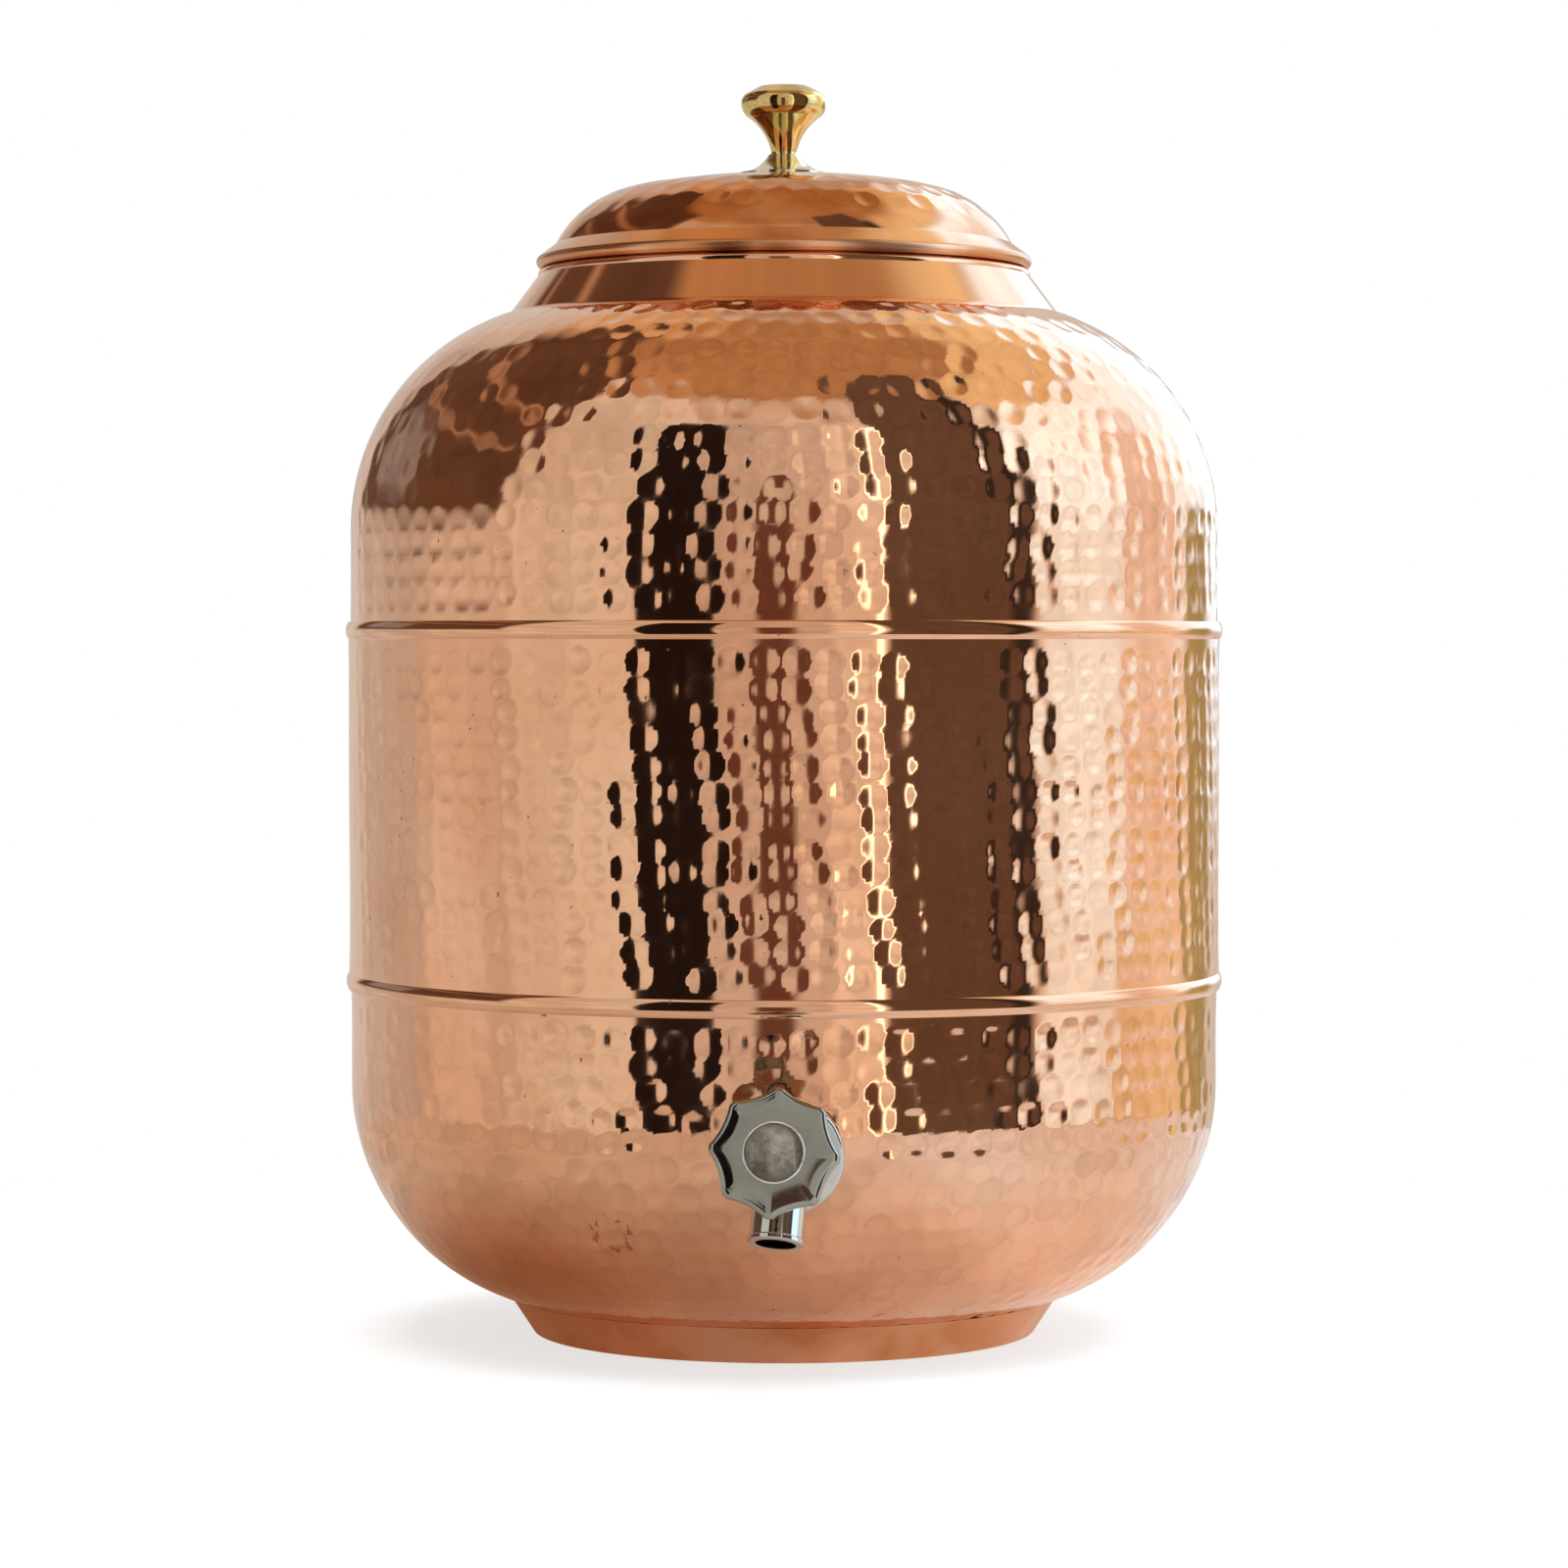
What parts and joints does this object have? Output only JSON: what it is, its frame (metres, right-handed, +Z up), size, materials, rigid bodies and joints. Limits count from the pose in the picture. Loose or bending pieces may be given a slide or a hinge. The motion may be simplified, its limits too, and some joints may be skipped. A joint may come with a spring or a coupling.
{
  "type": "water dispenser",
  "caption": "Hammered copper water dispenser: a round-shouldered tank on a foot ring, with a lift-off knobbed lid and a screw-down tap with a star handle near its base.",
  "frame": {"origin": "centre of the foot ring's bottom edge, on the surface that the tank stands on", "axes": "+Z up along the tank's axis; -Y is the front, where the tap points; +X is to the right seen from the front"},
  "size_m": [0.2828, 0.3468, 0.4017],
  "materials": {
    "copper": "mirror polished and hammered copper",
    "polished_brass": "polished",
    "chrome_plate": "mirror",
    "plain_brass": "machined",
    "steel": "satin",
    "silicone": "matt",
    "black_rubber": "matt",
    "white_packing": "matt",
    "clear_cap": "clear gloss"
  },
  "bodies": {
    "tank": {"foot_ring": "copper", "base_bowl": "copper", "wall_band": "copper", "shoulder_shell": "copper", "tap_body": "chrome_plate", "tap_flange": "chrome_plate", "outer_gasket": "silicone", "inner_gasket": "silicone", "inner_washer": "chrome_plate", "back_nut": "chrome_plate", "bonnet_washer": "white_packing", "bonnet": "chrome_plate", "spindle_packing": "white_packing", "gland_nut": "chrome_plate"},
    "lid": {"lid_shell": "copper", "lid_collar": "copper", "knob_base": "polished_brass", "knob": "polished_brass", "knob_washer": "steel", "knob_screw": "steel"},
    "valve": {"jumper": "plain_brass", "seat_washer": "black_rubber", "jumper_nut": "plain_brass"},
    "handle": {"spindle": "plain_brass", "tap_handle": "chrome_plate", "handle_screw": "steel", "handle_cap": "clear_cap"}
  },
  "joints": [
    {"name": "lid_lift", "type": "slide", "parent": "tank", "child": "lid", "axis": [0, 0, 1], "range_m": [0, 0.12]},
    {"name": "valve_lift", "type": "slide", "parent": "tank", "child": "valve", "axis": [-0.064, -0.9762, 0.2074], "range_m": [0, 0.003]},
    {"name": "tap_turn", "type": "hinge", "parent": "valve", "child": "handle", "pos_m": [0, -0.15696, 0.06834], "axis": [-0.064, -0.9762, 0.2074], "range_deg": [0, 540]}
  ],
  "couplings": [
    {"joint": "tap_turn", "follows": "valve_lift", "rad_per_m": 3141.5}
  ]
}
